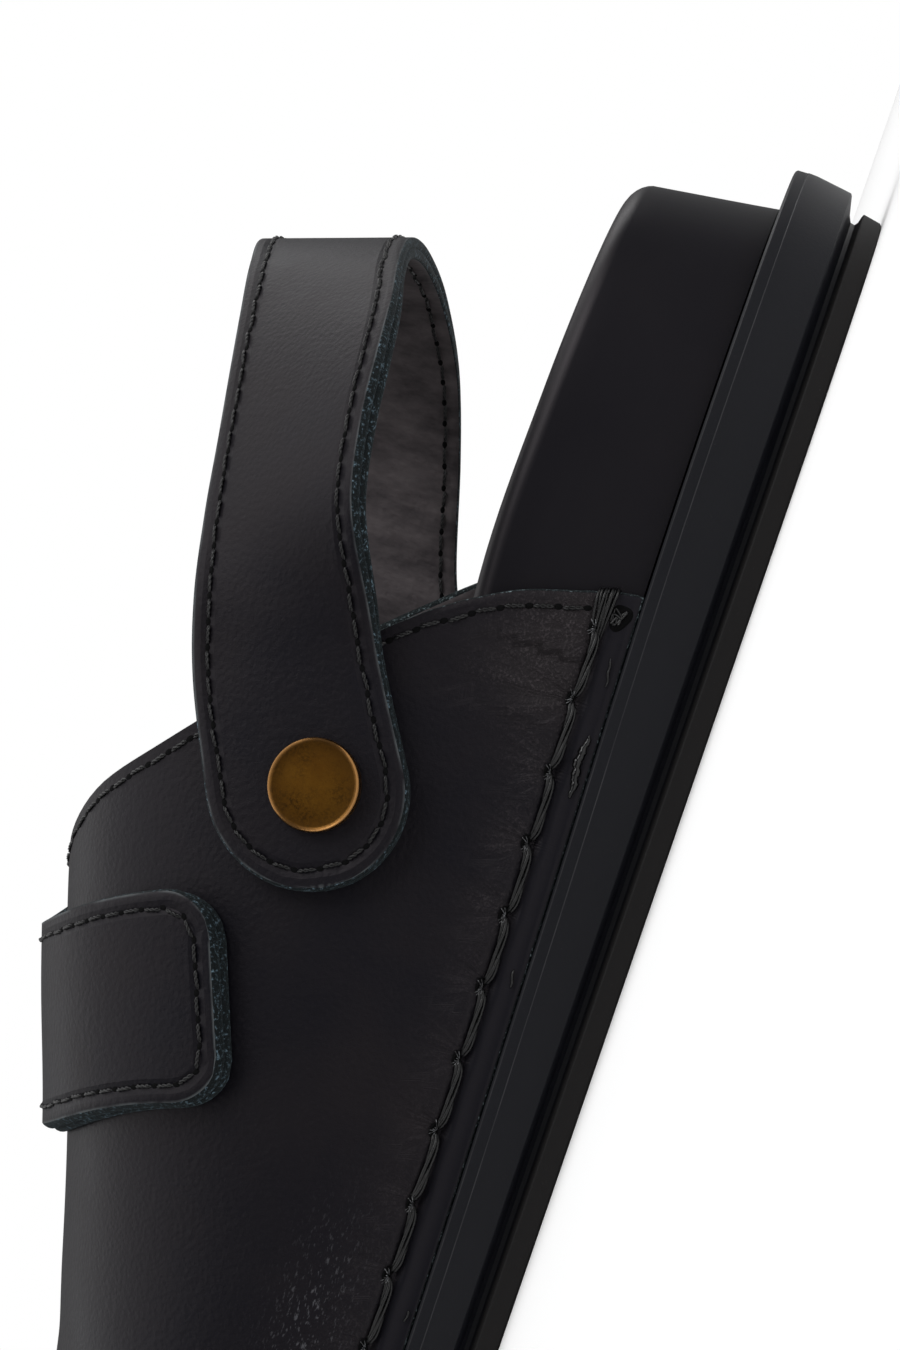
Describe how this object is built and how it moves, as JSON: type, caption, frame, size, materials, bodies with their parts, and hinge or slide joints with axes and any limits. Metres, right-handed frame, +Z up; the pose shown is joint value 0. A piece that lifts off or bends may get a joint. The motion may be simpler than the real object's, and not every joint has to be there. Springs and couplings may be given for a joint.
{
  "type": "leather sandal",
  "caption": "Closed-toe leather sandal for the left foot with a stitched heel strap on brass snaps, an instep strap, a thick footbed and a wave-grooved rubber sole.",
  "frame": {"origin": "middle of the bounding box, on the floor under the tread", "axes": "+X from heel to toe, +Y to the wearer's left (the outer side), +Z up"},
  "size_m": [0.292, 0.1058, 0.0859],
  "materials": {
    "sole_rubber": "satin",
    "footbed": "satin",
    "upper_leather": "satin",
    "strap_leather": "satin",
    "antique_brass": "antique"
  },
  "bodies": {
    "root": {"outsole": "sole_rubber", "footbed": "footbed", "upper": "upper_leather", "instep_strap": "strap_leather", "heel_strap": "strap_leather", "snap_outer": "antique_brass", "snap_inner": "antique_brass"}
  },
  "joints": []
}
